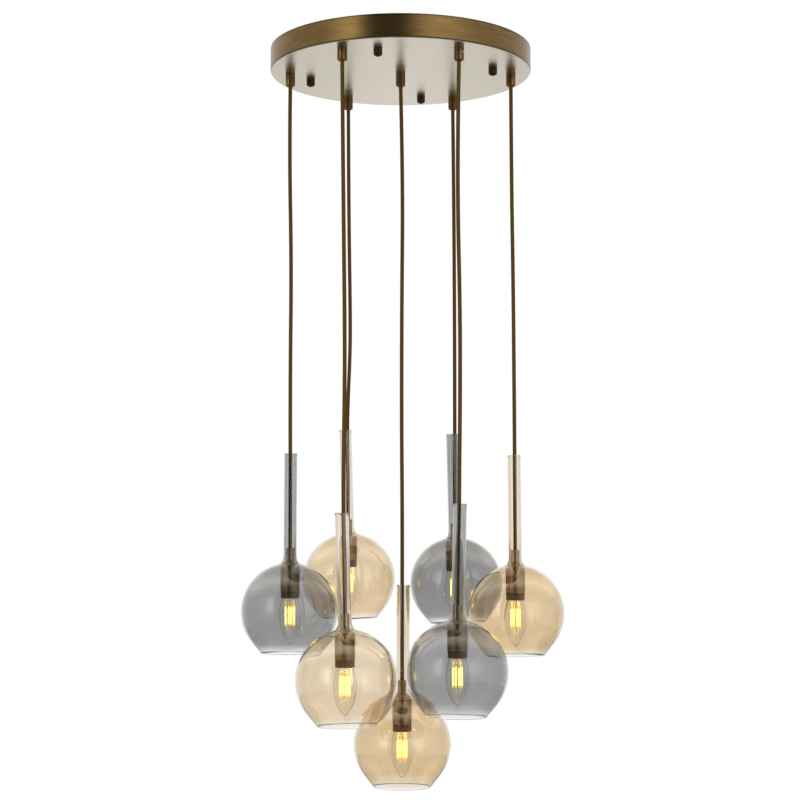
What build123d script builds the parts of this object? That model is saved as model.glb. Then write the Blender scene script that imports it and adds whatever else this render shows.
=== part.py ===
from build123d import *
from math import acos, asin, atan2, cos, hypot, pi, radians, sin, sqrt, tan
import os

# Cluster pendant: a round ceiling canopy with seven pendants on fabric cords. Six hang from a
# ring and one, the lowest, from the middle. Each has a blown glass globe with a long neck, open
# at the bottom, that rests on a lampholder with a small screw-in candle bulb.
# Millimetres. The origin is in the ceiling plane, on the canopy's axis. +Z is up, so everything
# hangs below zero. +X is right and +Y is away from the viewer.

# ---- fits -------------------------------------------------------------------------------
slide_fit = 0.1  # radial clearance of a piece in its bore
seat_gap = 0.3  # what stays open between two pieces that only lie on each other
swing_gap = 0.4  # round the top end of a cord, which turns in its grip

# ---- canopy -----------------------------------------------------------------------------
canopy_d = 412.0
canopy_h = 36.0
canopy_wall = 1.2
canopy_edge_r = 2.6  # outside radius where the spun side turns into the underside
ring_r = 175.0  # from the axis to each of the six outer cords

# ---- ceiling bracket --------------------------------------------------------------------
bracket_t = 2.5
bracket_hub_d = 112.0
bracket_arm_w = 26.0
bracket_turn = -13.3  # degrees from +X to the first arm
fixing_pcd = 160.0  # one fixing hole on each arm
fixing_hole_d = 5.5
supply_hole_d = 18.0
stud_circle_r = 148.5
stud_d = 5.0
nut_d = 13.5
nut_h = 9.0  # straight part
nut_dome_h = 3.2
nut_thread_depth = 8.0

# ---- cord grips in the canopy -----------------------------------------------------------
grip_d = 15.0
grip_body_l = 18.6
grip_taper_l = 1.4
grip_tip_d = 13.4
grip_mouth_l = 4.0  # how far up from the tip the mouth is flared
grip_stem_d = 10.0
grip_stem_l = 6.4  # above the underside sheet's lower face
swing_out = 20.0  # degrees that the outer pendants swing, which the grip's mouth leaves room for
mouth_gap = 0.75  # between the mouth and a cord swung out
lock_nut_af = 15.0
lock_nut_t = 4.0
set_screw_d = 4.0
set_screw_out = 0.8  # how far its end stands out of the grip
set_screw_drop = 8.0  # below the canopy
set_screw_slot = 0.7

# ---- cords ------------------------------------------------------------------------------
cord_d = 6.0
tail_level = 9.0  # height of the inner cord ends, below the ceiling
tail_bend_r = 18.0

# ---- connector block inside the canopy --------------------------------------------------
block_l = 58.0
block_w = 24.0
block_h = 15.0
block_y = 30.0  # its middle, from the axis
block_entry_depth = 3.0
block_near_pitch = 14.0  # between the entries on the side nearer the viewer
block_far_pitch = 22.0
block_screw_d = 4.0
block_peg_d = 4.0
block_peg_x = 24.0

# ---- glass shade ------------------------------------------------------------------------
globe_d = 150.0
glass_wall = 2.2
rim_d = 90.0
rim_skirt = 4.0  # how far the rim lies below the circle where the globe is as wide as the rim
neck_d = 20.0
neck_wall = 1.7
neck_l = 157.0  # straight part
shoulder_d = 28.0  # where the neck's flare meets the globe
flare_l = 14.3  # height of the flare
flare_waist = (2 / 3, 0.545)  # a point on the flare, as shares of its width and height

# ---- lampholder -------------------------------------------------------------------------
cup_d = 30.0
cup_wall = 1.0
cup_top_t = 1.6
cup_bevel = 1.6
cup_l = 40.0
skirt_d = 28.8
skirt_l = 11.0  # of the insert, showing below the cup
skirt_wall = 1.5
nipple_d = 13.0
nipple_l = 27.0
nipple_edge = 0.8
socket_floor = 3.0

# ---- bulb -------------------------------------------------------------------------------
bulb_cap_d = 13.9
bulb_cap_l = 24.0
bulb_contact_d = 6.0
bulb_contact_l = 2.2
bulb_wall = 0.8
# the candle shape, as diameter and distance from the cap
bulb_shape = [
    (17.0, 0), (24.8, 20), (32.4, 32), (35.0, 42), (35.0, 50), (32.0, 62),
    (24.4, 74), (13.4, 84), (4.8, 89), (0, 90),
]
filament_l = 33.0
filament_w = 1.6
filament_t = 0.9
filament_circle_d = 14.0
filament_top = 30.6  # below the cap
filament_turn = 20.0
lead_d = 0.9
stem_l = 26.0
stem_foot_d = 13.0
stem_tip_d = 4.6

# ---- worked out -------------------------------------------------------------------------
under_z = -canopy_h  # the canopy's lower face
floor_z = under_z + canopy_wall
grip_tip_z = under_z - grip_body_l - grip_taper_l
pivot_z = grip_tip_z + grip_mouth_l  # where the swinging part of a cord begins
stem_top_z = under_z + grip_stem_l
cord_r = cord_d / 2
bore_r = cord_r + slide_fit
globe_r = globe_d / 2
globe_ri = globe_r - glass_wall
neck_r = neck_d / 2
neck_ri = neck_r - neck_wall
shoulder_r = shoulder_d / 2
rim_r = rim_d / 2
rim_drop = sqrt(globe_r**2 - rim_r**2) + rim_skirt  # from the globe's centre down to the rim
neck_foot = sqrt(globe_r**2 - shoulder_r**2) + flare_l  # up to where the straight neck begins
neck_top = neck_foot + neck_l
cup_r = cup_d / 2
cap_r = bulb_cap_d / 2

# ---- the seven pendants -----------------------------------------------------------------
# turn: degrees round the ring from +X, or None for the middle one.
# globe_z: height of the globe's centre. hang: how far the lampholder's axis lies from the point
# straight under the grip, X then Y. The cord's set gives it. glass: how far the globe's centre
# lies from the lampholder's axis, along X. lean: degrees that the glass leans, its foot towards
# +X, because it sits loosely. bends: places on the cord, as height, X and Y from the grip.
# screw: degrees round the grip to its set screw.
pendants = {
    "left": dict(
        turn=180, globe_z=-884.0, hang=(3.2, 0.0), glass=-0.6, lean=-0.2, screw=70,
        bends=[(-165, -1.0, 0.3), (-340, 3.0, 0.6), (-520, 1.9, -0.3)],
    ),
    "front_left": dict(
        turn=240, globe_z=-977.0, hang=(6.2, -3.6), glass=2.3, lean=1.75, screw=130,
        bends=[(-128, 4.0, -1.6), (-310, 5.7, -3.2), (-500, 7.9, -4.0), (-640, 5.2, -3.2)],
    ),
    "front_right": dict(
        turn=300, globe_z=-964.0, hang=(-4.6, -2.6), glass=-0.6, lean=-1.15, screw=-43,
        bends=[(-112, -5.6, -2.6), (-300, -5.8, -3.2), (-480, -4.2, -2.4), (-640, -5.6, -2.9)],
    ),
    "right": dict(
        turn=0, globe_z=-887.0, hang=(3.4, 0.0), glass=0.5, lean=0.35, screw=110,
        bends=[(-225, 0.4, 0.3), (-370, 2.3, 0.6), (-560, 3.0, -0.2)],
    ),
    "back_right": dict(
        turn=60, globe_z=-846.0, hang=(1.9, -1.1), glass=1.5, lean=1.3, screw=40,
        bends=[(-210, 2.6, -0.8), (-430, 2.9, -1.5)],
    ),
    "back_left": dict(
        turn=120, globe_z=-839.0, hang=(1.0, 0.6), glass=2.3, lean=1.65, screw=150,
        bends=[(-230, 0.5, 0.5), (-450, -0.6, 0.2)],
    ),
    "centre": dict(
        turn=None, globe_z=-1088.0, hang=(2.2, 0.0), glass=0.4, lean=-0.4, screw=95,
        bends=[(-205, 3.7, 0.4), (-400, 1.9, 0.8), (-590, 1.5, 0.3), (-740, 2.7, -0.3)],
    ),
}


def grip_place(p):
    """X and Y of a pendant's grip."""
    if p["turn"] is None:
        return 0.0, 0.0
    return ring_r * cos(radians(p["turn"])), ring_r * sin(radians(p["turn"]))


def seat_height(p):
    """Height of the cup's top above the globe's centre, where its bevelled edge carries the glass."""
    edge_circle = cup_r - cup_bevel + abs(p["glass"])
    return sqrt((globe_ri - seat_gap) ** 2 - edge_circle**2)


def spun(*edges):
    """A solid of revolution round Z from the edges of a closed outline in the XZ plane."""
    face = Plane.XZ * make_face(Wire(edges))
    return revolve(face, Axis.Z, 360)


def outline(*points):
    """Straight edges through the points and back to the first."""
    ring = list(points) + [points[0]]
    return [Line(a, b) for a, b in zip(ring, ring[1:])]


def tube(points, radii, radius):
    """A round bar along straight runs joined by tangent arcs, one radius for each corner."""
    path = FilletPolyline(*points, radius=radii)
    start = Plane(origin=path @ 0, z_dir=path % 0)
    return sweep(start * Circle(radius), path=path), path.length


def bend_radii(points):
    """The largest arcs that the runs allow: 0.45 of the shorter run over tan of half the turn."""
    runs = [Vector(*b) - Vector(*a) for a, b in zip(points, points[1:])]
    radii = []
    for before, after in zip(runs, runs[1:]):
        half_turn = radians(before.get_angle(after)) / 2
        radii.append(0.45 * min(before.length, after.length) / tan(half_turn))
    return radii


# ---- canopy and what fixes it -----------------------------------------------------------
def make_canopy():
    """A spun pan, open at the ceiling, with holes for the seven grips and the four studs."""
    r_out, r_in = canopy_d / 2, canopy_d / 2 - canopy_wall
    edge_in = canopy_edge_r - canopy_wall
    bend = 1 - cos(pi / 4)
    pan = spun(
        Line((0, under_z), (r_out - canopy_edge_r, under_z)),
        ThreePointArc(
            (r_out - canopy_edge_r, under_z),
            (r_out - canopy_edge_r * bend, under_z + canopy_edge_r * bend),
            (r_out, under_z + canopy_edge_r),
        ),
        Line((r_out, under_z + canopy_edge_r), (r_out, 0)),
        Line((r_out, 0), (r_in, 0)),
        Line((r_in, 0), (r_in, floor_z + edge_in)),
        Line((r_in, floor_z + edge_in), (r_in - edge_in, floor_z)),
        Line((r_in - edge_in, floor_z), (0, floor_z)),
        Line((0, floor_z), (0, under_z)),
    )
    sheet_mid = under_z + canopy_wall / 2
    cutters = [
        Pos(*grip_place(p), sheet_mid) * Cylinder(grip_stem_d / 2 + slide_fit, 4 * canopy_wall)
        for p in pendants.values()
    ]
    cutters += [
        Pos(*xy, sheet_mid) * Cylinder(stud_d / 2 + seat_gap, 4 * canopy_wall)
        for xy in stud_places()
    ]
    return pan - cutters


def stud_places():
    """X and Y of the four studs, one near the end of each bracket arm."""
    turns = [radians(bracket_turn + 90 * i) for i in range(4)]
    return [(stud_circle_r * cos(t), stud_circle_r * sin(t)) for t in turns]


def make_bracket():
    """A flat cross with a round hub: it is screwed to the ceiling and carries the studs."""
    arm_l = 2 * stud_circle_r + bracket_arm_w
    cross = SlotOverall(arm_l, bracket_arm_w) + Rot(0, 0, 90) * SlotOverall(arm_l, bracket_arm_w)
    plan = Rot(0, 0, bracket_turn) * cross + Circle(bracket_hub_d / 2)
    plan -= Circle(supply_hole_d / 2)
    plan -= Rot(0, 0, bracket_turn) * PolarLocations(fixing_pcd / 2, 4) * Circle(fixing_hole_d / 2)
    plan -= [Pos(*xy) * Circle(stud_d / 2 + slide_fit) for xy in stud_places()]
    pegs = [(sx * block_peg_x, block_y) for sx in (-1, 1)]
    plan -= [Pos(*xy) * Circle(block_peg_d / 2 + slide_fit) for xy in pegs]
    return extrude(plan, -bracket_t)


def make_studs():
    """Threaded studs from the bracket down through the canopy into the cap nuts."""
    bottom = under_z - nut_thread_depth
    rod = Pos(0, 0, bottom / 2) * Cylinder(stud_d / 2, -bottom)
    return [Pos(*xy, 0) * rod for xy in stud_places()]


def make_cap_nuts():
    """Round domed nuts that pull the canopy up to the ceiling."""
    r, side_z = nut_d / 2, under_z - nut_h
    thread_r = stud_d / 2 + slide_fit
    thread_end = under_z - nut_thread_depth - seat_gap
    tip_z = side_z - nut_dome_h
    dome_r = (r**2 + nut_dome_h**2) / (2 * nut_dome_h)
    half = asin(r / dome_r) / 2
    dome_mid = (dome_r * sin(half), tip_z + dome_r * (1 - cos(half)))
    nut = spun(
        Line((thread_r, under_z), (r, under_z)),
        Line((r, under_z), (r, side_z)),
        ThreePointArc((r, side_z), dome_mid, (0, tip_z)),
        Line((0, tip_z), (0, thread_end)),
        Line((0, thread_end), (thread_r, thread_end)),
        Line((thread_r, thread_end), (thread_r, under_z)),
    )
    return [Pos(*xy, 0) * nut for xy in stud_places()]


# ---- cord grips -------------------------------------------------------------------------
def make_grips():
    """Turned grips: a threaded stem through the canopy and a body with a flared lower mouth."""
    body_r, tip_r, stem_r = grip_d / 2, grip_tip_d / 2, grip_stem_d / 2
    swivel_r = cord_r + swing_gap
    waist_z = pivot_z + swivel_r + seat_gap
    swung = radians(swing_out)
    mouth_r = grip_mouth_l * tan(swung) + cord_r / cos(swung) + mouth_gap
    blank = spun(*outline(
        (bore_r, stem_top_z), (stem_r, stem_top_z), (stem_r, under_z), (body_r, under_z),
        (body_r, under_z - grip_body_l), (tip_r, grip_tip_z), (mouth_r, grip_tip_z),
        (swivel_r, pivot_z), (swivel_r, waist_z), (bore_r, waist_z),
    ))
    screw_z = under_z - set_screw_drop
    hole_r = set_screw_d / 2 + slide_fit
    hole = Pos(body_r, 0, screw_z) * Rot(0, 90, 0) * Cylinder(hole_r, 2 * (body_r - cord_r))
    grip = blank - hole
    return [Pos(*grip_place(p), 0) * Rot(0, 0, p["screw"]) * grip for p in pendants.values()]


def make_lock_nuts():
    """Hexagon nuts on the stems, inside the canopy."""
    plan = RegularPolygon(lock_nut_af / 2, 6, major_radius=False)
    nut = extrude(plan - Circle(grip_stem_d / 2 + slide_fit), lock_nut_t)
    nut = chamfer(nut.edges().group_by(Axis.Z)[-1].filter_by(GeomType.LINE), 0.5)
    return [Pos(*grip_place(p), floor_z) * nut for p in pendants.values()]


def make_set_screws():
    """Slotted grub screws that clamp the cords."""
    inner, outer = cord_r, grip_d / 2 + set_screw_out
    screw = Pos((inner + outer) / 2, 0, 0) * Rot(0, 90, 0) * Cylinder(set_screw_d / 2, outer - inner)
    screw -= Pos(outer, 0, 0) * Box(2 * set_screw_out, set_screw_slot, 2 * set_screw_d)
    screw = Pos(0, 0, under_z - set_screw_drop) * screw
    return [Pos(*grip_place(p), 0) * Rot(0, 0, p["screw"]) * screw for p in pendants.values()]


# ---- connector block and the inner cord ends --------------------------------------------
def entries():
    """Where each inner cord end meets the block, and the level direction that it comes in."""
    near, far = block_y - block_w / 2, block_y + block_w / 2
    places = {
        "left": (-block_l / 2, block_y),
        "front_left": (-block_near_pitch, near),
        "centre": (0, near),
        "front_right": (block_near_pitch, near),
        "right": (block_l / 2, block_y),
        "back_right": (block_far_pitch / 2, far),
        "back_left": (-block_far_pitch / 2, far),
    }
    found = {}
    for name, place in places.items():
        mouth = Vector(*place, -tail_level)
        found[name] = mouth, (mouth - Vector(*grip_place(pendants[name]), -tail_level)).normalized()
    return found


def block_screw_l():
    """The screws reach from the block's lower face to the lower side of the cords."""
    return bracket_t + block_h - tail_level - cord_r / 2


def screw_place(mouth, inward):
    """X and Y of the clamping screw, just past a cord's end."""
    place = mouth + inward * (block_entry_depth + block_screw_d / 2 + 1)
    return place.X, place.Y


def make_block():
    """A moulded connector block on two pegs, with an entry and a screw for each cord."""
    low_z = -bracket_t - block_h
    block = Pos(0, block_y, low_z + block_h / 2) * Box(block_l, block_w, block_h)
    block = fillet(block.edges().filter_by(Axis.Z), 2.0)
    peg = Cylinder(block_peg_d / 2, bracket_t)
    for sx in (-1, 1):
        block += Pos(sx * block_peg_x, block_y, -bracket_t / 2) * peg
    well = Cylinder(block_screw_d / 2 + slide_fit, 2 * block_screw_l())
    for mouth, inward in entries().values():
        bore = Plane(origin=mouth + inward * block_entry_depth, z_dir=-inward) * Circle(bore_r)
        block -= extrude(bore, 4 * block_entry_depth)
        block -= Pos(*screw_place(mouth, inward), low_z) * well
    return block


def make_block_screws():
    """One slotted clamping screw below each entry."""
    length = block_screw_l() - seat_gap
    screw = Pos(0, 0, length / 2) * Cylinder(block_screw_d / 2, length)
    screw -= Box(2 * block_screw_d, set_screw_slot, 2.0)
    low_z = -bracket_t - block_h
    return [Pos(*screw_place(*entry), low_z) * screw for entry in entries().values()]


def make_tails():
    """The cords above their grips' clamps: up, over in one bend, and level to the block."""
    tails = []
    for name, (mouth, inward) in entries().items():
        gx, gy = grip_place(pendants[name])
        low = (gx, gy, pivot_z + cord_r + swing_gap)
        over = (gx, gy, -tail_level)
        end = tuple(mouth + inward * block_entry_depth)
        solid, _ = tube([low, over, end], [tail_bend_r], cord_r)
        tails.append(solid)
    return tails


# ---- one pendant ------------------------------------------------------------------------
def make_cord(p):
    """The free cord, from its round end in the grip down into the lampholder's nipple."""
    gx, gy = grip_place(p)
    hx, hy = gx + p["hang"][0], gy + p["hang"][1]
    nipple_top = p["globe_z"] + seat_height(p) + nipple_l
    end_z = p["globe_z"] + seat_height(p) - cup_top_t
    straight = nipple_top + neck_top / 2
    points = [(gx, gy, pivot_z)]
    points += [(gx + x, gy + y, z) for z, x, y in p["bends"]]
    points += [(hx, hy, straight), (hx, hy, end_z)]
    radii = bend_radii(points)
    solid, length = tube(points, radii, cord_r)
    return solid + Pos(gx, gy, pivot_z) * Sphere(cord_r), length, radii


def make_shade():
    """The blown glass: globe, cone to the open rim, and a long neck with a flared foot."""
    def skin(ball_r, mouth_r, foot_r, tube_r):
        """The outline of one face of the glass from the rim to the neck's end."""
        touch = atan2(-rim_drop, mouth_r) + acos(ball_r / hypot(mouth_r, rim_drop))
        low = (ball_r * cos(touch), ball_r * sin(touch))
        high = (foot_r, sqrt(ball_r**2 - foot_r**2))
        waist = (
            foot_r + (tube_r - foot_r) * flare_waist[0],
            high[1] + (neck_foot - high[1]) * flare_waist[1],
        )
        return [
            Line((mouth_r, -rim_drop), low),
            ThreePointArc(low, (ball_r, 0), high),
            ThreePointArc(high, waist, (tube_r, neck_foot)),
            Line((tube_r, neck_foot), (tube_r, neck_top)),
        ]
    outer = skin(globe_r, rim_r, shoulder_r, neck_r)
    inner = skin(globe_ri, rim_r - glass_wall, shoulder_r - glass_wall, neck_ri)
    ends = [
        Line((rim_r, -rim_drop), (rim_r - glass_wall, -rim_drop)),
        Line((neck_r, neck_top), (neck_ri, neck_top)),
    ]
    return spun(*outer, *inner, *ends)


def make_cup():
    """The lampholder's cup with its nipple, from the cup's top face at zero."""
    r_in, nip_r = cup_r - cup_wall, nipple_d / 2
    return spun(*outline(
        (bore_r, nipple_l), (nip_r - nipple_edge, nipple_l), (nip_r, nipple_l - nipple_edge),
        (nip_r, 0), (cup_r - cup_bevel, 0), (cup_r, -cup_bevel), (cup_r, -cup_l),
        (r_in, -cup_l), (r_in, -cup_top_t), (bore_r, -cup_top_t),
    ))


def make_insert():
    """The moulded insert: its socket takes the bulb's cap, its skirt shows below the cup."""
    body_r, skirt_r = cup_r - cup_wall - slide_fit, skirt_d / 2
    top_z, step_z, low_z = -cup_top_t, -cup_l, -cup_l - skirt_l
    socket_end = bulb_cap_low() + seat_gap
    socket_r = cap_r + slide_fit
    return spun(*outline(
        (0, top_z), (body_r, top_z), (body_r, step_z), (skirt_r, step_z), (skirt_r, low_z),
        (skirt_r - skirt_wall, low_z), (skirt_r - skirt_wall, socket_end),
        (socket_r, socket_end), (socket_r, bulb_top()), (0, bulb_top()),
    ))


def bulb_top():
    """Height of the bulb's centre contact, which touches the socket's floor."""
    return -cup_top_t - socket_floor


def bulb_cap_low():
    """Height where the bulb's cap ends and its glass begins."""
    return bulb_top() - bulb_contact_l - bulb_cap_l


def make_bulb_cap():
    """The small screw cap with its centre contact and the rim that holds the glass."""
    top, low = bulb_top(), bulb_cap_low()
    shell_top = top - bulb_contact_l
    contact_r = bulb_contact_d / 2
    return spun(*outline(
        (0, top), (contact_r, top), (contact_r, shell_top), (cap_r - 1.2, shell_top),
        (cap_r, shell_top - 1.2), (cap_r, low), (0, low),
    ))


def make_envelope():
    """The candle-shaped glass of the bulb, thin-walled and pointing down."""
    top = bulb_cap_low()
    tip_drop = bulb_shape[-1][1]
    outer = [(d / 2, top - drop) for d, drop in bulb_shape]
    inner = [
        (max(d / 2 - bulb_wall, 0), top - min(drop, tip_drop - bulb_wall))
        for d, drop in bulb_shape[:-2] + bulb_shape[-1:]
    ]
    return spun(*outline(*outer, *reversed(inner)))


def make_filaments():
    """The glass stem with four upright light strips on thin leads."""
    top = bulb_cap_low()
    strip_top = top - filament_top
    strip_low = strip_top - filament_l
    foot_r, tip_r = stem_foot_d / 2, stem_tip_d / 2
    stem = spun(*outline((0, top), (foot_r, top), (tip_r, top - stem_l), (0, top - stem_l)))
    lead_l = strip_low - lead_d - (top - stem_l) - 1
    lead = Pos(0, 0, top - stem_l + 1 + lead_l / 2) * Box(lead_d, lead_d, -lead_l)
    group = stem + lead
    ring = filament_circle_d / 2
    for i in range(4):
        spin = Rot(0, 0, filament_turn + 90 * i)
        strip = Pos(ring, 0, (strip_top + strip_low) / 2) * Box(filament_t, filament_w, filament_l)
        arm = Box(ring + filament_t / 2, lead_d, lead_d, align=(Align.MIN, Align.CENTER, Align.CENTER))
        group += spin * strip
        group += spin * Pos(0, 0, strip_top + lead_d / 2) * arm
        group += spin * Pos(0, 0, strip_low - lead_d / 2) * arm
    return group


# ---- writing the parts ------------------------------------------------------------------
def write(name, shapes):
    """One file for one named piece, or for a group of alike pieces."""
    solids = shapes if isinstance(shapes, list) else [shapes]
    whole = Compound(children=[s.solid() for s in solids]) if len(solids) > 1 else solids[0].solid()
    whole.label = name
    export_step(whole, f"parts/{name}.step")


os.makedirs("parts", exist_ok=True)
write("canopy_dish", make_canopy())
write("ceiling_bracket", make_bracket())
write("bracket_studs", make_studs())
write("canopy_cap_nuts", make_cap_nuts())
write("cord_grips", make_grips())
write("grip_lock_nuts", make_lock_nuts())
write("grip_set_screws", make_set_screws())
write("connector_block", make_block())
write("connector_screws", make_block_screws())
write("inner_cord_tails", make_tails())

shade, cup, insert = make_shade(), make_cup(), make_insert()
bulb_cap, envelope, filaments = make_bulb_cap(), make_envelope(), make_filaments()

for name, p in pendants.items():
    gx, gy = grip_place(p)
    hx, hy = gx + p["hang"][0], gy + p["hang"][1]
    holder = Pos(hx, hy, p["globe_z"] + seat_height(p))
    glass = Pos(hx + p["glass"], hy, p["globe_z"]) * Rot(0, -p["lean"], 0)
    cord, length, radii = make_cord(p)
    section = pi * cord_r**2
    share = cord.volume / (section * length + 2 / 3 * pi * cord_r**3)
    print(name, "cord length", round(length), "radii", [round(r) for r in radii],
          "volume over section x length", round(share, 4))
    write(f"cord_{name}", cord)
    write(f"glass_shade_{name}", glass * shade)
    write(f"holder_cup_{name}", holder * cup)
    write(f"holder_insert_{name}", holder * insert)
    write(f"bulb_cap_{name}", holder * bulb_cap)
    write(f"bulb_glass_{name}", holder * envelope)
    write(f"bulb_filaments_{name}", holder * filaments)
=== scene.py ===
from collections import namedtuple
from math import acos, atan2, cos, hypot, pi, radians, sin, sqrt

import bmesh
import bpy
from mathutils import Matrix, Vector


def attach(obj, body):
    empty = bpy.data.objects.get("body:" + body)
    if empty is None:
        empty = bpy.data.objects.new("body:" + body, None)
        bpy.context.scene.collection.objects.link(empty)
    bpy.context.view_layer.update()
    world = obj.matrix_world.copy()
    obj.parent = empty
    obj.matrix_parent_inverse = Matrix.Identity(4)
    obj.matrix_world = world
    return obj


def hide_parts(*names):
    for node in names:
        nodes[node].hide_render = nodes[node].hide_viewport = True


# The looks of the cluster pendant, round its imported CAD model. Metres, in the row frame.

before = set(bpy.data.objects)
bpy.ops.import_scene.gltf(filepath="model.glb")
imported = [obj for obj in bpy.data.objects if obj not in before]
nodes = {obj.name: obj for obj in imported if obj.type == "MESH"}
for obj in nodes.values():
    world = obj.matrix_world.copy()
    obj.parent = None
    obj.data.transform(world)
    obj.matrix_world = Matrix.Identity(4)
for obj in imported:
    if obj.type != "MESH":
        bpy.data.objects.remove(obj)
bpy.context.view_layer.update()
scene = bpy.context.scene
MM = 0.001

# ---- camera -----------------------------------------------------------------------------
CAMERA_PLACE = (-0.00094, -2.656, -0.746)
CAMERA_LENS = 76.5  # in millimetres, for a sensor 36 mm wide
CAMERA_RISE = 4.11  # degrees that it looks upwards

camera_data = bpy.data.cameras.new("camera")
camera_data.lens = CAMERA_LENS
camera_data.sensor_width = 36.0
camera = bpy.data.objects.new("camera", camera_data)
camera.location = CAMERA_PLACE
camera.rotation_euler = (radians(90 + CAMERA_RISE), 0, 0)
scene.collection.objects.link(camera)
scene.camera = camera

# ---- sizes, in millimetres, as in the part's source -------------------------------------
CANOPY_H = 36.0
RING_R = 175.0
PIVOT_Z = -52.0
CORD_D = 6.0
GLOBE_R, WALL, NECK_R, NECK_WALL = 75.0, 2.2, 10.0, 1.7
RIM_R, RIM_DROP, NECK_FOOT, NECK_TOP = 45.0, 64.0, 88.0, 245.0
CUP_R, CUP_BEVEL, CUP_TOP_T, NIPPLE_L = 15.0, 1.6, 1.6, 27.0
SEAT_GAP = 0.3
SOCKET_FLOOR, CONTACT_L, CAP_L = 3.0, 2.2, 24.0
BULB_TOP_GAP = CUP_TOP_T + SOCKET_FLOOR + CONTACT_L + CAP_L  # cup's top to bulb's glass

# Each pendant, in millimetres and degrees:
#   turn     round the ring, or None in the middle
#   globe_z  height of the globe's centre
#   hang     X and Y of the holder from its grip
#   glass    X of the glass from the holder's axis
#   lean     of the glass, to the side
#   tone     colour of the glass
#   depth    how full that colour is
#   cord     length of the cord, in metres
#   bends    of the cord, each as a height, and X and Y from the grip
# The bends of the four cords at the front and back are up to 5 mm off the part's, so that the
# two cords of a pair show side by side, as they do in the photograph.
Pendant = namedtuple("Pendant", "turn globe_z hang glass lean tone depth cord bends")
PENDANTS = {
    "left": Pendant(
        180, -884.0, (3.2, 0.0), -0.6, -0.2, "smoke", 0.93, 0.763,
        [(-165, -1.0, 0.3), (-340, 3.0, 0.6), (-520, 1.9, -0.3)]),
    "front_left": Pendant(
        240, -977.0, (6.2, -3.6), 2.3, 1.75, "amber", 0.72, 0.856,
        [(-128, 0.7, -1.6), (-310, 2.9, -3.2), (-500, 5.3, -4.0), (-640, 3.7, -3.2),
         (-740, 3.3, -3.4)]),
    "front_right": Pendant(
        300, -964.0, (-4.6, -2.6), -0.6, -1.15, "smoke", 0.90, 0.843,
        [(-112, -1.4, -2.6), (-270, -2.8, -3.2), (-430, 0.6, -2.4), (-580, 0.2, -2.6),
         (-660, -1.0, -2.9), (-740, -1.6, -2.8)]),
    "right": Pendant(
        0, -887.0, (3.4, 0.0), 0.5, 0.35, "amber", 0.94, 0.765,
        [(-225, 0.4, 0.3), (-370, 2.3, 0.6), (-560, 3.0, -0.2)]),
    "back_right": Pendant(
        60, -846.0, (1.9, -1.1), 1.5, 1.3, "smoke", 1.0, 0.725,
        [(-210, 1.4, -0.8), (-430, 2.2, -1.5)]),
    "back_left": Pendant(
        120, -839.0, (1.0, 0.6), 2.3, 1.65, "amber", 0.84, 0.718,
        [(-230, 1.0, 0.5), (-420, 4.3, 0.2), (-482, 3.2, 0.3), (-550, 0.2, 0.3),
         (-610, -0.6, 0.4)]),
    "centre": Pendant(
        None, -1088.0, (2.2, 0.0), 0.4, -0.4, "amber", 0.96, 0.966,
        [(-205, 3.7, 0.4), (-400, 1.9, 0.8), (-590, 1.5, 0.3), (-740, 2.7, -0.3)]),
}


def grip_place(turn):
    if turn is None:
        return 0.0, 0.0
    return RING_R * cos(radians(turn)), RING_R * sin(radians(turn))


def holder_place(pendant):
    """The cup's top centre, in millimetres."""
    gx, gy = grip_place(pendant.turn)
    edge = CUP_R - CUP_BEVEL + abs(pendant.glass)
    seat = sqrt((GLOBE_R - WALL - SEAT_GAP) ** 2 - edge**2)
    return gx + pendant.hang[0], gy + pendant.hang[1], pendant.globe_z + seat


# ---- small helpers ----------------------------------------------------------------------
def clamped(value):
    return min(1.0, max(0.0, value))


def in_metres(points):
    return [tuple(c * MM for c in p) for p in points]


def link(obj):
    scene.collection.objects.link(obj)
    return obj


def mesh_object(name, bm, smooth=True):
    mesh = bpy.data.meshes.new(name)
    bm.to_mesh(mesh)
    bm.free()
    mesh.polygons.foreach_set("use_smooth", [smooth] * len(mesh.polygons))
    return link(bpy.data.objects.new(name, mesh))


def nurbs_line(points, per_span):
    """Points along a smooth NURBS line with these control points, in metres."""
    curve = bpy.data.curves.new("route", "CURVE")
    curve.dimensions = "3D"
    spline = curve.splines.new("NURBS")
    spline.points.add(len(points) - 1)
    for p, co in zip(spline.points, points):
        p.co = (*co, 1.0)
    spline.order_u = 3
    spline.use_endpoint_u = True
    spline.resolution_u = per_span
    obj = link(bpy.data.objects.new("route", curve))
    bpy.context.view_layer.update()
    evaluated = obj.evaluated_get(bpy.context.evaluated_depsgraph_get())
    line = bpy.data.meshes.new_from_object(evaluated)
    found = [v.co.copy() for v in line.vertices]
    bpy.data.objects.remove(obj)
    bpy.data.curves.remove(curve)
    bpy.data.meshes.remove(line)
    return found


def evenly(line, step):
    """The same line with points a step apart."""
    lengths = [0.0]
    for a, b in zip(line, line[1:]):
        lengths.append(lengths[-1] + (b - a).length)
    count = max(2, round(lengths[-1] / step))
    out, seg = [], 0
    for i in range(count + 1):
        want = lengths[-1] * i / count
        while seg < len(line) - 2 and lengths[seg + 1] < want:
            seg += 1
        span = lengths[seg + 1] - lengths[seg]
        t = (want - lengths[seg]) / span if span else 0.0
        out.append(line[seg].lerp(line[seg + 1], clamped(t)))
    return out


def turns(sides):
    """The cosine and sine of each corner's angle round a ring."""
    return [(cos(2 * pi * k / sides), sin(2 * pi * k / sides)) for k in range(sides)]


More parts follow.
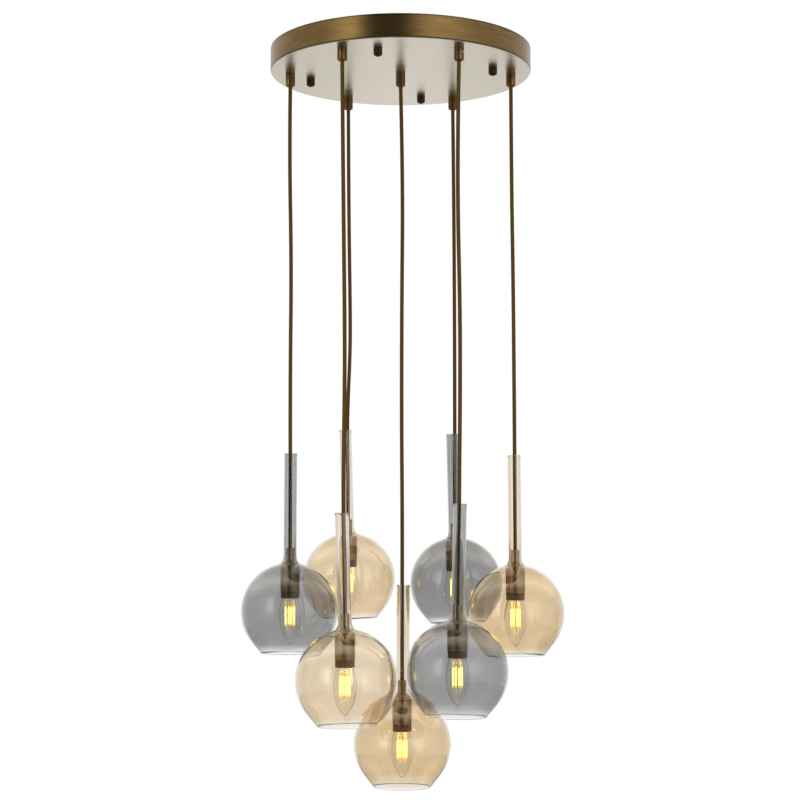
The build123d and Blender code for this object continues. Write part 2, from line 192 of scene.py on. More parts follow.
def tube_mesh(name, line, radius, sides):
    """A tube along a line, with U round it and V along it in turns of its own girth."""
    bm = bmesh.new()
    uv = bm.loops.layers.uv.new("UVMap")
    side = Vector((1, 0, 0))
    rings, along = [], [0.0]
    for i, p in enumerate(line):
        ahead = line[min(i + 1, len(line) - 1)] - line[max(i - 1, 0)]
        ahead.normalize()
        side = (side - ahead * side.dot(ahead)).normalized()
        up = ahead.cross(side)
        rings.append([bm.verts.new(p + (side * c + up * s) * radius) for c, s in turns(sides)])
        if i:
            along.append(along[-1] + (p - line[i - 1]).length)
    girth = 2 * pi * radius
    for i in range(len(rings) - 1):
        near, far = rings[i], rings[i + 1]
        for k in range(sides):
            j = (k + 1) % sides
            face = bm.faces.new((near[k], near[j], far[j], far[k]))
            corners = (k, along[i]), (k + 1, along[i]), (k + 1, along[i + 1]), (k, along[i + 1])
            for loop, (u, v) in zip(face.loops, corners):
                loop[uv].uv = (u / sides, v / girth)
    for ring, order in ((rings[0], -1), (rings[-1], 1)):
        bm.faces.new(ring[::order])
    return mesh_object(name, bm)


ON_AXIS = 1e-6  # a lathed point nearer to the axis than this is one vertex for all sides


def lathe(name, profile, segments, place, closed=True, values=None):
    """A solid of revolution about Z from points (radius, height) in millimetres.

    The values, one for each point, go into a vertex layer that is called tint.
    """
    bm = bmesh.new()
    tint = bm.verts.layers.float.new("tint") if values else None
    rings = []
    for i, (r, z) in enumerate(profile):
        if r < ON_AXIS:
            ring = [bm.verts.new((0, 0, z * MM))] * segments
        else:
            ring = [bm.verts.new((r * MM * c, r * MM * s, z * MM)) for c, s in turns(segments)]
        if tint:
            for v in set(ring):
                v[tint] = values[i]
        rings.append(ring)
    pairs = list(zip(rings, rings[1:]))
    if closed:
        pairs.append((rings[-1], rings[0]))
    for a, b in pairs:
        for k in range(segments):
            j = (k + 1) % segments
            corners = []
            for v in (a[k], a[j], b[j], b[k]):
                if v not in corners:
                    corners.append(v)
            if len(corners) > 2:
                bm.faces.new(corners)
    bmesh.ops.recalc_face_normals(bm, faces=bm.faces)
    bm.transform(place)
    return mesh_object(name, bm)


def bezier(a, b, c, d, count):
    """Points on a cubic from a to d, without a itself."""
    out = []
    for i in range(1, count + 1):
        t = i / count
        s = 1 - t
        shares = (s**3, 3 * s * s * t, 3 * s * t * t, t**3)
        out.append(tuple(
            shares[0] * a[k] + shares[1] * b[k] + shares[2] * c[k] + shares[3] * d[k]
            for k in (0, 1)
        ))
    return out


# ---- materials --------------------------------------------------------------------------
class Nodes:
    """A node tree, with a short way to add each kind of node that is used here."""

    def __init__(self, tree):
        self.tree = tree

    def put(self, socket, value):
        """Link a value that comes out of another node, or else set it."""
        if isinstance(value, bpy.types.NodeSocket):
            self.tree.links.new(value, socket)
        else:
            socket.default_value = value

    def node(self, kind, inputs=(), **settings):
        n = self.tree.nodes.new(kind)
        for key, value in settings.items():
            setattr(n, key, value)
        for key, value in dict(inputs).items():
            self.put(n.inputs[key], value)
        return n

    def math(self, operation, a, b=0.0):
        return self.node("ShaderNodeMath", {0: a, 1: b}, operation=operation).outputs[0]

    def times(self, first, *others):
        for other in others:
            first = self.math("MULTIPLY", first, other)
        return first

    def plus(self, first, *others):
        for other in others:
            first = self.math("ADD", first, other)
        return first

    def rest_of(self, share):
        """One less the share."""
        return self.math("SUBTRACT", 1.0, share)

    def larger(self, a, b):
        return self.math("MAXIMUM", a, b)

    def any_of(self, depth):
        """1 for a ray that has bounced in this way, however often, and 0 for another."""
        return self.math("MINIMUM", depth, 1.0)

    def mix(self, share, a, b):
        """From colour a to colour b by the share."""
        n = self.node("ShaderNodeMix", {0: share}, data_type="RGBA")
        for slot, value in ((6, a), (7, b)):
            self.put(n.inputs[slot], (*value, 1) if isinstance(value, tuple) else value)
        return n.outputs[2]

    def ramp(self, value, low, high, to_low=0.0, to_high=1.0):
        """A value from low to high, as one from to_low to to_high and held at its ends."""
        n = self.node("ShaderNodeMapRange", {0: value, 1: low, 2: high, 3: to_low, 4: to_high})
        return n.outputs[0]

    def noise(self, vector, scale, detail):
        n = self.node("ShaderNodeTexNoise", {"Vector": vector, "Scale": scale, "Detail": detail})
        return n.outputs["Fac"]

    def coords(self, kind="Object"):
        return self.node("ShaderNodeTexCoord").outputs[kind]

    def parts(self, vector):
        """The X, Y and Z of a vector."""
        return self.node("ShaderNodeSeparateXYZ", {0: vector}).outputs

    def scaled(self, vector, scale):
        n = self.node("ShaderNodeVectorMath", {0: vector, 1: scale}, operation="MULTIPLY")
        return n.outputs[0]

    def attribute(self, name):
        return self.node("ShaderNodeAttribute", attribute_name=name).outputs["Fac"]

    def rays(self):
        return self.node("ShaderNodeLightPath").outputs


class Mat(Nodes):
    """A material with one Principled shader."""

    def __init__(self, name, colour, **sockets):
        self.material = bpy.data.materials.new(name)
        self.material.use_nodes = True
        super().__init__(self.material.node_tree)
        self.shader = self.tree.nodes["Principled BSDF"]
        self.put(self.shader.inputs["Base Color"], (*colour, 1))
        for key, value in sockets.items():
            self.put(self.shader.inputs[key.replace("_", " ")], value)

    def to(self, socket, value):
        self.put(self.shader.inputs[socket], value)

    def bump(self, height, distance, strength):
        inputs = {"Height": height, "Distance": distance, "Strength": strength}
        self.to("Normal", self.node("ShaderNodeBump", inputs).outputs[0])

    def round_z(self, around, across):
        """Coordinates round the Z axis: angle times around, height and radius times across."""
        x, y, z = self.parts(self.coords())
        angle = self.math("ARCTAN2", y, x)
        radius = self.math("SQRT", self.plus(self.times(x, x), self.times(y, y)))
        return self.node("ShaderNodeCombineXYZ", {
            0: self.times(angle, around), 1: self.times(z, across), 2: self.times(radius, across),
        }).outputs[0]


# in metres: up or down from the band's middle, and left or right of the underside's middle, where
# the underside's painted highlight fades
BAND_EDGE_AT, UNDERSIDE_HIGHLIGHT_FADE_AT = (0.0150, 0.0172), (0.02, 0.19)


def brushed_band():
    """Lines brushed round the canopy's side, which darkens at its two edges."""
    m = Mat("canopy_band", (0.20, 0.135, 0.062), Metallic=1.0, Roughness=0.30,
            Anisotropic=0.75, Anisotropic_Rotation=0.25)
    lines = m.noise(m.round_z(around=9.0, across=2600.0), scale=1.0, detail=3.0)
    patches = m.noise(m.round_z(around=3.0, across=60.0), scale=1.0, detail=2.0)
    tone = m.mix(m.ramp(lines, 0.34, 0.66), (0.125, 0.077, 0.026), (0.268, 0.173, 0.065))
    tone = m.mix(m.ramp(patches, 0.35, 0.7, 0.0, 0.45), tone, (0.145, 0.09, 0.032))
    off_middle = m.math("ABSOLUTE", m.plus(m.parts(m.coords())[2], CANOPY_H / 2 * MM))
    at_edge = m.ramp(off_middle, *BAND_EDGE_AT, 0.0, 0.75)
    m.to("Base Color", m.mix(at_edge, tone, (0.05, 0.032, 0.014)))
    m.to("Roughness", m.ramp(lines, 0.25, 0.75, 0.26, 0.36))
    m.bump(lines, distance=0.00004, strength=0.35)
    m.to("Tangent", m.node("ShaderNodeTangent", direction_type="RADIAL", axis="Z").outputs[0])
    return m.material


def satin_underside():
    """Fine straight lines along X, with a painted highlight: a little darker towards the canopy's
    left and right, so that the middle looks lit by a reflection.
    """
    m = Mat("canopy_underside", (0.63, 0.58, 0.48), Metallic=1.0, Roughness=0.22)
    fine = m.noise(m.scaled(m.coords(), (14.0, 1500.0, 1.0)), scale=1.0, detail=3.0)
    broad = m.noise(m.scaled(m.coords(), (7.0, 170.0, 1.0)), scale=1.0, detail=3.0)
    grain = m.plus(m.times(fine, 0.45), m.times(broad, 0.55))
    cloud = m.noise(m.coords(), scale=9.0, detail=2.0)
    tone = m.mix(m.ramp(grain, 0.3, 0.7), (0.65, 0.60, 0.49), (0.90, 0.835, 0.695))
    tone = m.mix(m.ramp(cloud, 0.35, 0.65, 0.0, 0.35), tone, (0.735, 0.68, 0.565))
    # painted highlight: the tone darkens away from the middle, where the reflection is brightest
    away_from_highlight = m.ramp(m.math("ABSOLUTE", m.parts(m.coords())[0]), *UNDERSIDE_HIGHLIGHT_FADE_AT)
    m.to("Base Color", m.mix(away_from_highlight, tone, m.mix(0.22, tone, (0.30, 0.25, 0.17))))
    m.to("Roughness", m.ramp(grain, 0.25, 0.75, 0.25, 0.36))
    m.bump(grain, distance=0.00002, strength=0.25)
    return m.material


def plain_metal(name, colour, dark, roughness, **sockets):
    """Turned or drawn metal: fine lines round it and slow changes of tone."""
    m = Mat(name, colour, Metallic=1.0, Roughness=roughness, **sockets)
    lines = m.noise(m.scaled(m.coords(), (90.0, 90.0, 1400.0)), scale=1.0, detail=2.0)
    cloud = m.noise(m.coords(), scale=160.0, detail=2.0)
    tone = m.mix(m.ramp(lines, 0.3, 0.7), dark, colour)
    m.to("Base Color", m.mix(m.ramp(cloud, 0.4, 0.75, 0.0, 0.4), tone, dark))
    m.to("Roughness", m.ramp(cloud, 0.3, 0.7, roughness * 0.85, roughness * 1.25))
    m.bump(lines, distance=0.00002, strength=0.3)
    return m.material


YARNS_ROUND, CROSSINGS = 12.0, 10.0  # round a cord, and along it in a length of its own girth


def cord_cloth():
    """A round braid: two families of yarn that cross over and under each other."""
    m = Mat("cord_fabric", (0.085, 0.06, 0.028), Roughness=0.85, Sheen_Weight=0.10,
            Sheen_Roughness=0.4, Sheen_Tint=(0.9, 0.7, 0.4, 1), Specular_IOR_Level=0.12)
    u, v, _ = m.parts(m.coords("UV"))
    u, v = m.times(u, YARNS_ROUND), m.times(v, CROSSINGS)
    leads = m.plus(u, v), m.math("SUBTRACT", u, v)
    waves = [m.math("SINE", m.times(lead, pi)) for lead in leads]
    halves = [m.math("SINE", m.times(lead, pi / 2)) for lead in leads]
    over = m.ramp(m.times(*halves), -0.25, 0.25)  # which of the two families lies on top
    height = m.node("ShaderNodeMix", {
        0: over, 2: m.times(waves[0], waves[0]), 3: m.times(waves[1], waves[1]),
    }, data_type="FLOAT").outputs[0]
    fibre = m.noise(m.scaled(m.coords("UV"), (60.0, 22.0, 1.0)), scale=3.0, detail=3.0)
    tone = m.mix(m.ramp(height, 0.0, 0.9), (0.024, 0.013, 0.002), (0.095, 0.055, 0.010))
    m.to("Base Color", m.mix(m.ramp(fibre, 0.35, 0.7, 0.0, 0.45), tone, (0.135, 0.083, 0.018)))
    m.bump(m.plus(height, m.times(fibre, 0.25)), distance=0.0004, strength=0.7)
    return m.material


GLASS_EDGE, GLASS_EDGE_TONE = 0.55, (0.10, 0.085, 0.06)  # where glass is seen edge on
GROUND_ROUGHNESS = 0.35


def tinted_glass(name, tint, clear, ior):
    """Blown glass, full tone in the globe and fading to clear at the ground rim."""
    m = Mat(name, tint, Roughness=0.0, IOR=ior, Transmission_Weight=1.0)
    drift = m.ramp(m.noise(m.coords(), scale=14.0, detail=1.0), 0.3, 0.7, 0.94, 1.0)
    share = m.times(m.attribute("tint"), drift)
    facing = m.node("ShaderNodeLayerWeight", {"Blend": 0.5}).outputs["Facing"]
    edge_on = m.times(m.ramp(facing, 0.80, 0.97), GLASS_EDGE)
    m.to("Base Color", m.mix(edge_on, m.mix(share, clear, tint), GLASS_EDGE_TONE))
    m.to("Roughness", m.times(m.attribute("ground"), GROUND_ROUGHNESS))
    m.bump(m.noise(m.coords(), scale=26.0, detail=1.0), distance=0.0006, strength=0.12)
    return m.material


def clear_glass(name, colour, **sockets):
    m = Mat(name, colour, Roughness=0.0, IOR=1.5, Transmission_Weight=1.0, **sockets)
    m.bump(m.noise(m.coords(), scale=60.0, detail=1.0), distance=0.0002, strength=0.1)
    return m.material


STRIP_END, STRIP_MIDDLE = (1.0, 0.58, 0.06), (1.0, 0.86, 0.21)
STRIP_POWER = (0.9, 3.2)  # at its ends and in its middle
STRIP_MIRRORED = (1.0, 2.5)  # what that is multiplied by, seen straight and mirrored


def lit_strip():
    """Lit strips, hottest in the middle and orange at their ends."""
    m = Mat("filament_lit", (0.9, 0.75, 0.4), Roughness=0.6)
    share = m.attribute("lit_share")
    m.to("Emission Color", m.mix(share, STRIP_END, STRIP_MIDDLE))
    # seen straight they clip to white; what mirrors them still shows how bright they are
    mirrored = m.any_of(m.rays()["Glossy Depth"])
    power = m.times(m.ramp(share, 0, 1, *STRIP_POWER), m.ramp(mirrored, 0, 1, *STRIP_MIRRORED))
    grain = m.ramp(m.noise(m.coords(), scale=900.0, detail=1.0), 0.2, 0.8, 0.9, 1.1)
    m.to("Emission Strength", m.times(power, grain))
    return m.material


def moulded(name, colour, dark, roughness, painted_glow=0.0):
    """Moulded plastic. With a painted glow, an orange emission painted on its lower edge stands
    in for the light that the lit strips shine on it.
    """
    m = Mat(name, colour, Roughness=roughness)
    if painted_glow:
        # painted glow: orange emission, strongest at the lower edge and fading upwards
        m.to("Emission Color", (1.0, 0.47, 0.05, 1))
        near = m.ramp(m.parts(m.coords("Generated"))[2], 0.0, 0.5, 1.0, 0.0)
        m.to("Emission Strength", m.times(near, near, painted_glow))
    speck = m.noise(m.coords(), scale=700.0, detail=3.0)
    cloud = m.noise(m.coords(), scale=60.0, detail=2.0)
    m.to("Base Color", m.mix(m.ramp(cloud, 0.3, 0.7), dark, colour))
    m.to("Roughness", m.ramp(speck, 0.3, 0.7, roughness * 0.9, clamped(roughness * 1.15)))
    m.bump(speck, distance=0.00005, strength=0.3)
    return m.material


band, underside = brushed_band(), satin_underside()
grip_brass = plain_metal("grip_brass", (0.205, 0.125, 0.043), (0.135, 0.08, 0.027), 0.30)
dark_bronze = plain_metal("dark_bronze", (0.098, 0.061, 0.035), (0.052, 0.033, 0.019), 0.34)
holder_metal = plain_metal("holder_brass", (0.395, 0.29, 0.14), (0.33, 0.236, 0.112), 0.36)
steel = plain_metal("zinc_steel", (0.62, 0.62, 0.60), (0.50, 0.50, 0.49), 0.34)
cap_metal = plain_metal("bulb_cap_metal", (0.72, 0.71, 0.68), (0.60, 0.59, 0.56), 0.22)
# the insert gets a painted glow on its lower edge, for the strips' light
insert_plastic = moulded("holder_insert", (0.07, 0.040, 0.014), (0.05, 0.029, 0.010), 0.42,
                         painted_glow=0.06)
block_plastic = moulded("block_plastic", (0.80, 0.80, 0.78), (0.74, 0.74, 0.72), 0.45)
cloth = cord_cloth()
smoke = tinted_glass("glass_smoke", (0.50, 0.50, 0.497), (0.97, 0.97, 0.97), ior=1.52)
amber = tinted_glass("glass_amber", (0.85, 0.72, 0.53), (0.98, 0.98, 0.97), ior=1.6)
bulb_clear = clear_glass("bulb_clear_glass", (0.985, 0.98, 0.965))
# painted glow: the stem's glass emits a faint orange, for the strips' light caught in it
stem_glass = clear_glass("stem_glass", (0.97, 0.97, 0.96),
                         Emission_Color=(1.0, 0.52, 0.12, 1), Emission_Strength=0.10)
lit = lit_strip()
# painted glow: the lead wires emit orange, for the strips' light on them, though they are no lamp
lead_metal = plain_metal("lead_wire", (0.55, 0.45, 0.30), (0.40, 0.32, 0.20), 0.3,
                         Emission_Color=(1.0, 0.60, 0.09, 1), Emission_Strength=0.5)


def dress(node, *materials):
    slots = nodes[node].data.materials
    slots.clear()
    for material in materials:
        slots.append(material)


for node, material in {
    "ceiling_bracket": steel, "bracket_studs": steel, "canopy_cap_nuts": dark_bronze,
    "cord_grips": grip_brass, "grip_lock_nuts": steel, "grip_set_screws": steel,
    "connector_block": block_plastic, "connector_screws": steel,
}.items():
    dress(node, material)

FACES_DOWN = -0.75  # the Z of a normal, below which a face is on the canopy's underside
dress("canopy_dish", band, underside)
for polygon in nodes["canopy_dish"].data.polygons:
    polygon.material_index = 1 if polygon.normal.z < FACES_DOWN else 0

# ---- cords ------------------------------------------------------------------------------
CORD_STEP = 0.004  # in metres, from one ring of a cord's mesh to the next
PLUMB_L = NIPPLE_L + NECK_TOP / 4  # in millimetres above the cup, where a cord runs straight down

for name, pendant in PENDANTS.items():
    gx, gy = grip_place(pendant.turn)
    hx, hy, cup_top = holder_place(pendant)
    route = [(gx, gy, PIVOT_Z)]
    route += [(gx + x, gy + y, z) for z, x, y in pendant.bends]
    route += [(hx, hy, cup_top + PLUMB_L), (hx, hy, cup_top - CUP_TOP_T)]
    route = in_metres(route)
    line = evenly(nurbs_line(route, per_span=24), CORD_STEP)
    cord = tube_mesh(f"fabric_cord_{name}", line, CORD_D / 2 * MM, sides=20)
    cord.data.materials.append(cloth)
    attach(cord, f"pendant_{name}")
    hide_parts(f"cord_{name}")

# ---- inner cord ends, in millimetres ----------------------------------------------------
BLOCK_Y, BLOCK_L, BLOCK_W = 30.0, 58.0, 24.0
BLOCK_NEAR, BLOCK_FAR = BLOCK_Y - BLOCK_W / 2, BLOCK_Y + BLOCK_W / 2
NEAR_PITCH, FAR_PITCH = 14.0, 22.0
ENTRY_DEPTH = 3.0
TAIL_FOOT, TAIL_Z = -48.0, -9.0
# up from the grip and over in a bend, as how far in towards the block, and height
OUTER_BEND = [(0, TAIL_FOOT), (0, -30.0), (0, -12.0), (14, -8.5), (40, TAIL_Z)]
MIDDLE_BEND = [(0, TAIL_FOOT), (0, -26.0), (0, -9.5), (6, TAIL_Z)]
ENTRIES = {  # where each one goes into the connector block
    "left": (-BLOCK_L / 2, BLOCK_Y), "front_left": (-NEAR_PITCH, BLOCK_NEAR),
    "centre": (0.0, BLOCK_NEAR), "front_right": (NEAR_PITCH, BLOCK_NEAR),
    "right": (BLOCK_L / 2, BLOCK_Y), "back_right": (FAR_PITCH / 2, BLOCK_FAR),
    "back_left": (-FAR_PITCH / 2, BLOCK_FAR),
}

for name, (ex, ey) in ENTRIES.items():
    gx, gy = grip_place(PENDANTS[name].turn)
    inward = Vector((ex - gx, ey - gy, 0)).normalized()
    bend = MIDDLE_BEND if name == "centre" else OUTER_BEND
    way = [Vector((gx, gy, z)) + inward * far for far, z in bend]
    way.append(Vector((ex, ey, TAIL_Z)) + inward * ENTRY_DEPTH)
    line = evenly(nurbs_line(in_metres(way), per_span=12), CORD_STEP)
    tail = tube_mesh(f"inner_cord_{name}", line, CORD_D / 2 * MM, sides=16)
    tail.data.materials.append(cloth)
    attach(tail, "canopy")
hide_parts("inner_cord_tails")

# ---- glass shades, in millimetres -------------------------------------------------------
SHADE_SIDES = 144
BALL_STEPS = 56
SHOULDER, SHOULDER_IN = 18.0, 16.6  # from the axis over the globe to where the flare begins
FLARE_END = NECK_FOOT + 2
PULL_LOW, PULL_HIGH = 7.0, 8.5  # how long the flare keeps to the globe's line and the neck's
LIP_BEVEL, LIP_OUT = 0.35, 0.02
CLEAR_RIM = 2.0  # above the rim, without any tone
FADE = {"smoke": 12.0, "amber": 8.0}  # height over which the tone comes in above that
NECK_FADE_FROM, NECK_FADE_L = 70.0, 30.0
NECK_DEPTH = {"smoke": 0.88, "amber": 0.62}  # the tone's share that is left in the neck


def skin(ball_r, mouth_r, tube_r, shoulder):
    """One face of the glass from the rim up to the neck's end, as (radius, height)."""
    touch = atan2(-RIM_DROP, mouth_r) + acos(ball_r / hypot(mouth_r, RIM_DROP))
    low = (ball_r * cos(touch), ball_r * sin(touch))
    points = [(mouth_r + (low[0] - mouth_r) * t, -RIM_DROP + (low[1] + RIM_DROP) * t)
              for t in (0.0, 0.08, 0.3, 0.6)]
    top = pi / 2 - shoulder / ball_r
    angles = [touch + (top - touch) * i / BALL_STEPS for i in range(BALL_STEPS + 1)]
    points += [(ball_r * cos(angle), ball_r * sin(angle)) for angle in angles]
    begin, end = points[-1], (tube_r, FLARE_END)
    slope = Vector((-sin(top), cos(top)))
    low_pull = (begin[0] + slope.x * PULL_LOW, begin[1] + slope.y * PULL_LOW)
    points += bezier(begin, low_pull, (tube_r, FLARE_END - PULL_HIGH), end, count=14)
    points += [(tube_r, FLARE_END + (NECK_TOP - FLARE_END) * t)
               for t in (0.25, 0.5, 0.75, 0.95, 1.0)]
    return points


def shade_profile():
    """The glass's section: its outer face, the neck's round end, its inner face and its lip."""
    outer = skin(GLOBE_R, RIM_R, NECK_R, SHOULDER)
    inner = skin(GLOBE_R - WALL, RIM_R - WALL, NECK_R - NECK_WALL, SHOULDER_IN)
    lip = [(RIM_R - LIP_BEVEL, -RIM_DROP), (RIM_R - WALL + LIP_BEVEL, -RIM_DROP)]
    outer[0] = (RIM_R + LIP_OUT, -RIM_DROP + LIP_BEVEL)
    inner[0] = (RIM_R - WALL + LIP_OUT, -RIM_DROP + LIP_BEVEL)
    half = NECK_WALL / 2
    neck_end = [(NECK_R - half + half * cos(pi * k / 8), NECK_TOP - half + half * sin(pi * k / 8))
                for k in range(1, 8)]
    outer[-1] = (NECK_R, NECK_TOP - half)
    inner[-1] = (NECK_R - NECK_WALL, NECK_TOP - half)
    return outer + neck_end + inner[::-1] + lip[::-1]


def glass_tone(pendant, z):
    """The tone's share at a height: none at the rim, full in the globe, less in the neck."""
    above_rim = clamped((z + RIM_DROP - CLEAR_RIM) / FADE[pendant.tone])
    in_neck = clamped((z - NECK_FADE_FROM) / NECK_FADE_L)
    full = pendant.depth * above_rim * above_rim * (3 - 2 * above_rim)
    return full * (1 - (1 - NECK_DEPTH[pendant.tone]) * in_neck)


profile = shade_profile()
lip_from = (len(profile) - 2) * SHADE_SIDES  # the first vertex of the profile's last two rings
for name, pendant in PENDANTS.items():
    hx, hy, _ = holder_place(pendant)
    place = Matrix.Translation(Vector((hx + pendant.glass, hy, pendant.globe_z)) * MM)
    place = place @ Matrix.Rotation(radians(-pendant.lean), 4, "Y")
    tones = [glass_tone(pendant, z) for r, z in profile]
    shade = lathe(f"blown_shade_{name}", profile, SHADE_SIDES, place=place, values=tones)
    ground = shade.data.attributes.new("ground", "FLOAT", "POINT")
    ground.data.foreach_set("value", [float(i >= lip_from) for i in range(len(ground.data))])
    shade.data.materials.append(smoke if pendant.tone == "smoke" else amber)
    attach(shade, f"shade_{name}")
    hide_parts(f"glass_shade_{name}")

# ---- bulbs, with heights in millimetres from where their glass begins -------------------
BULB_LINE = [
    (8.5, 0), (9.6, -6), (11.6, -16), (14.3, -26), (16.6, -36), (17.5, -45), (17.2, -53),
    (15.9, -62.5), (13.3, -71.5), (9.4, -80.2), (5.3, -86.4), (2.3, -89.2), (0, -90),
]
BULB_WALL = 0.8
TIP_R = 3.0  # within this radius the wall's thickness is taken upwards
TIP_CLOSE_R, TIP_DROP = 0.9, 0.1  # where the inner face closes, and by how much it is lower there
STEM_LINE = [
    (0, -0.2), (6.2, -0.2), (6.0, -3), (4.4, -8), (3.0, -14), (2.5, -20), (2.4, -24.5),
    (1.9, -26.4), (0, -27),
]
STRIP_TOP, STRIP_L, STRIP_R = -30.6, 33.0, 7.0
STRIP_TURN, STRIP_SIDES = 20, 12  # degrees from +X to the first of four, and corners round each
LEAD_TOP, LEAD_R = -26, 0.45
ARM_R, ARM_OUT = 0.42, 0.5  # the arms lie this far past a strip's ends
# half of a strip's outline, as distance from its end, radius and how much it is lit
STRIP_ROWS = [
    (0.0, 0.6, 0.0), (0.5, 1.15, 0.0), (2.8, 1.3, 0.12), (4.6, 1.35, 1.0), (15, 1.35, 1.0),
]


def smooth_line(points, per_span):
    """A smooth line through the points, by Catmull and Rom's rule."""
    pts = [points[0]] + list(points) + [points[-1]]
    out = []
    for i in range(1, len(pts) - 2):
        p0, p1, p2, p3 = (Vector(p) for p in pts[i - 1:i + 3])
        for k in range(per_span):
            t = k / per_span
            out.append(0.5 * (2 * p1 + (p2 - p0) * t + (2 * p0 - 5 * p1 + 4 * p2 - p3) * t**2
                              + (3 * p1 - p0 - 3 * p2 + p3) * t**3))
    out.append(Vector(points[-1]))
    return [(max(0.0, p.x), p.y) for p in out]


def rod(bm, a, b, radius, sides):
    """A round rod from a to b, in millimetres, with closed ends."""
    a, b = Vector(a) * MM, Vector(b) * MM
    ahead = (b - a).normalized()
    side = ahead.orthogonal().normalized()
    up = ahead.cross(side)
    ends = [
        [bm.verts.new(p + (side * c + up * s) * radius * MM) for c, s in turns(sides)]
        for p in (a, b)
    ]
    for k in range(sides):
        j = (k + 1) % sides
        bm.faces.new((ends[0][k], ends[0][j], ends[1][j], ends[1][k]))
    bm.faces.new(ends[0][::-1])
    bm.faces.new(ends[1])


def lead_wires(name, strips_at, foot):
    """The middle wire, and an arm from it to both ends of each strip."""
    bm = bmesh.new()
    rod(bm, (0, 0, LEAD_TOP), (0, 0, STRIP_TOP - STRIP_L - 2 * LEAD_R), LEAD_R, sides=10)
    for x, y in strips_at:
        for z in (STRIP_TOP + ARM_OUT, STRIP_TOP - STRIP_L - ARM_OUT):
            rod(bm, (0, 0, z), (x, y, z), ARM_R, sides=8)
    bm.transform(foot)
    return mesh_object(name, bm)


def light_strips(name, strips_at, foot):
    """Four upright strips, with how much they are lit in a vertex layer."""
    bm = bmesh.new()
    lit_share = bm.verts.layers.float.new("lit_share")
    rows = STRIP_ROWS + [(STRIP_L - down, r, share) for down, r, share in STRIP_ROWS[-2::-1]]
    for x, y in strips_at:
        rings = []
        for down, r, share in rows:
            ring = [bm.verts.new(Vector((x + r * c, y + r * s, STRIP_TOP - down)) * MM)
                    for c, s in turns(STRIP_SIDES)]
            for v in ring:
                v[lit_share] = share
            rings.append(ring)
        for a, b in zip(rings, rings[1:]):
            for k in range(STRIP_SIDES):
                j = (k + 1) % STRIP_SIDES
                bm.faces.new((a[k], b[k], b[j], a[j]))
        bm.faces.new(rings[0])
        bm.faces.new(rings[-1][::-1])
    bm.transform(foot)
    return mesh_object(name, bm)


candle = smooth_line(BULB_LINE, per_span=4)
candle_in = [(max(0.0, r - BULB_WALL), z if r > TIP_R else z + BULB_WALL)
             for r, z in candle if r > TIP_CLOSE_R]
candle_in.append((0.0, candle_in[-1][1] - TIP_DROP))
strip_turns = [radians(STRIP_TURN + 90 * i) for i in range(4)]
strips_at = [Vector((STRIP_R * cos(turn), STRIP_R * sin(turn))) for turn in strip_turns]

for name, pendant in PENDANTS.items():
    hx, hy, cup_top = holder_place(pendant)
    foot = Matrix.Translation(Vector((hx, hy, cup_top - BULB_TOP_GAP)) * MM)
    bulb = lathe(f"candle_glass_{name}", candle + candle_in[::-1], segments=64, place=foot)
    bulb.data.materials.append(bulb_clear)
    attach(bulb, f"bulb_{name}")
    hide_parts(f"bulb_glass_{name}")

    stem = lathe(f"bulb_stem_{name}", STEM_LINE, segments=32, closed=False, place=foot)
    stem.data.materials.append(stem_glass)
    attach(stem, f"bulb_{name}")

    leads = lead_wires(f"bulb_leads_{name}", strips_at, foot)
    leads.data.materials.append(lead_metal)
    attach(leads, f"bulb_{name}")

    strips = light_strips(f"filament_strips_{name}", strips_at, foot)
    strips.data.materials.append(lit)
    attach(strips, f"bulb_{name}")
    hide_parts(f"bulb_filaments_{name}")

    dress(f"holder_cup_{name}", holder_metal)
    dress(f"holder_insert_{name}", insert_plastic)
    dress(f"bulb_cap_{name}", cap_metal)

# ---- room -------------------------------------------------------------------------------
# Brightness round the light, as (share of a turn, brightness). A share of 0 or 1 is behind
# the light, 0.25 to its left, 0.5 in front of it and 0.75 to its right.
ROOM = [
    (0.0, 1.0), (0.10, 0.85), (0.20, 0.58), (0.29, 0.78), (0.36, 0.75), (0.396, 0.60),
    (0.404, 0.14), (0.508, 0.13), (0.56, 0.70), (0.64, 0.80), (0.71, 0.92), (0.80, 0.58),
    (0.90, 0.85), (1.0, 1.0),
]
SOFT_BOXES = [
    (0.31, 0.0), (0.345, 0.9), (0.375, 2.0), (0.388, 2.0), (0.402, 0.9), (0.42, 0.2),
    (0.435, 0.0), (0.515, 0.0), (0.55, 0.85), (0.585, 1.3), (0.62, 1.1), (0.69, 0.0),
]
# where each of these comes in, as the Z of a direction, or as its Z and Y added up
BOX_FOOT, BOX_HEAD = (-0.14, 0.12), (0.40, 0.60)
SWEEP_FOOT, SWEEP_EDGE, SWEEP_FALL = (0.25, 0.50), (0.42, 0.85), (0.90, 1.30)
SWEEP_LIGHT = (2.0, 0.8)  # at its edge, and behind the fall
WARM = (1.0, 0.93, 0.78)  # its colour
BELOW = (-0.25, -0.75)
BELOW_LIGHT = 0.12
AMBIENT = 0.55  # for all that the room only lights
INSIDE = 0.6  # more light for what is seen through the glass

world = bpy.data.worlds.new("studio")
scene.world = world
world.use_nodes = True
world.node_tree.nodes.clear()
world.cycles.sampling_method = "NONE"
sky = Nodes(world.node_tree)
rays = sky.rays()
x, y, z = sky.parts(sky.coords("Generated"))
turn_share = sky.plus(sky.math("DIVIDE", sky.math("ARCTAN2", x, sky.times(y, -1.0)), 2 * pi), 0.5)


def round_ramp(stops):
    """A brightness for every direction, from its share of a turn."""
    colours = sky.node("ShaderNodeValToRGB", {0: turn_share})
    elements = colours.color_ramp.elements
    while len(elements) < len(stops):
        elements.new(0.5)
    for element, (at, value) in zip(elements, stops):
        element.position = at
        element.color = (value, value, value, 1)
    return colours.outputs[0]


box_height = sky.times(sky.ramp(z, *BOX_FOOT), sky.ramp(z, *BOX_HEAD, 1.0, 0.0))
